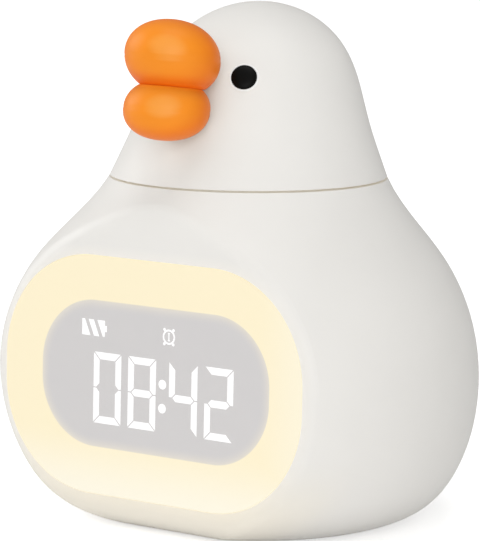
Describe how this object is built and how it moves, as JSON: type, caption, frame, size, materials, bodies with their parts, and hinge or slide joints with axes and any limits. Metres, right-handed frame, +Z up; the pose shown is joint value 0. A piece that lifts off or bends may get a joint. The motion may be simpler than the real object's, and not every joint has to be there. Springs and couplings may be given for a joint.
{
  "type": "alarm clock with night light",
  "caption": "Egg-shaped table clock for a child's room, with a duck's face, a press-down head, a glowing ring round a hidden time display and small buttons at the back.",
  "frame": {"origin": "centre of the flat base pad, on the surface the clock stands on", "axes": "+Z up; the clock's face looks along -Y; +X to the right as seen from the front"},
  "size_m": [0.1104, 0.0934, 0.1186],
  "materials": {
    "body_white": "satin moulded",
    "head_white": "satin moulded",
    "panel_white": "satin moulded",
    "milky_lens": "satin translucent",
    "reflector_white": "matte",
    "inner_white": "matte",
    "circuit_board": "solder mask",
    "warm_led": "lens",
    "display_black": "matte",
    "display_light": "diffuse",
    "chip_black": "matte",
    "screw_steel": "plated",
    "spring_steel": "drawn wire",
    "socket_steel": "stamped",
    "switch_black": "matte",
    "plunger_grey": "matte",
    "speaker_black": "matte",
    "base_white": "matte moulded",
    "cell_silver": "foil pouch",
    "pad_rubber": "matte",
    "beak_orange": "satin moulded",
    "eye_black": "polished",
    "button_white": "satin moulded"
  },
  "bodies": {
    "body": {"body_shell": "body_white", "front_lens": "milky_lens", "light_frame": "reflector_white", "front_board": "circuit_board", "lamp_leds": "warm_led", "display_module": "display_black", "display_segments": "display_light", "driver_chip": "chip_black", "frame_screws": "screw_steel", "neck_deck": "inner_white", "deck_screws": "screw_steel", "head_switch_board": "circuit_board", "head_switch": "switch_black", "head_spring": "spring_steel", "rear_panel": "panel_white", "rear_board": "circuit_board", "control_chips": "chip_black", "tact_switches": "switch_black", "usb_socket": "socket_steel", "alarm_speaker": "speaker_black", "board_screws": "screw_steel", "base_cover": "base_white", "battery_cell": "cell_silver", "base_screws": "screw_steel", "base_pad": "pad_rubber"},
    "head": {"head_shell": "head_white", "upper_beak": "beak_orange", "lower_beak": "beak_orange", "left_eye": "eye_black", "right_eye": "eye_black", "head_carrier": "inner_white", "head_screws": "screw_steel", "head_plunger": "plunger_grey"},
    "mode_button": {"mode_button": "button_white", "mode_plunger": "plunger_grey"},
    "down_button": {"down_button": "button_white", "down_plunger": "plunger_grey"},
    "up_button": {"up_button": "button_white", "up_plunger": "plunger_grey"},
    "light_button": {"light_button": "button_white", "light_plunger": "plunger_grey"}
  },
  "joints": [
    {"name": "head_press", "type": "slide", "parent": "body", "child": "head", "axis": [0, 0, -1], "range_m": [0, 0.00035], "stiffness_N_per_m": 1200, "springref_m": -0.0008, "deforming": ["head_spring"]},
    {"name": "mode_press", "type": "slide", "parent": "body", "child": "mode_button", "axis": [0, -1, 0], "range_m": [0, 0.0003], "stiffness_N_per_m": 200},
    {"name": "down_press", "type": "slide", "parent": "body", "child": "down_button", "axis": [0, -1, 0], "range_m": [0, 0.0003], "stiffness_N_per_m": 200},
    {"name": "up_press", "type": "slide", "parent": "body", "child": "up_button", "axis": [0, -1, 0], "range_m": [0, 0.0003], "stiffness_N_per_m": 200},
    {"name": "light_press", "type": "slide", "parent": "body", "child": "light_button", "axis": [0, -1, 0], "range_m": [0, 0.0003], "stiffness_N_per_m": 200}
  ]
}
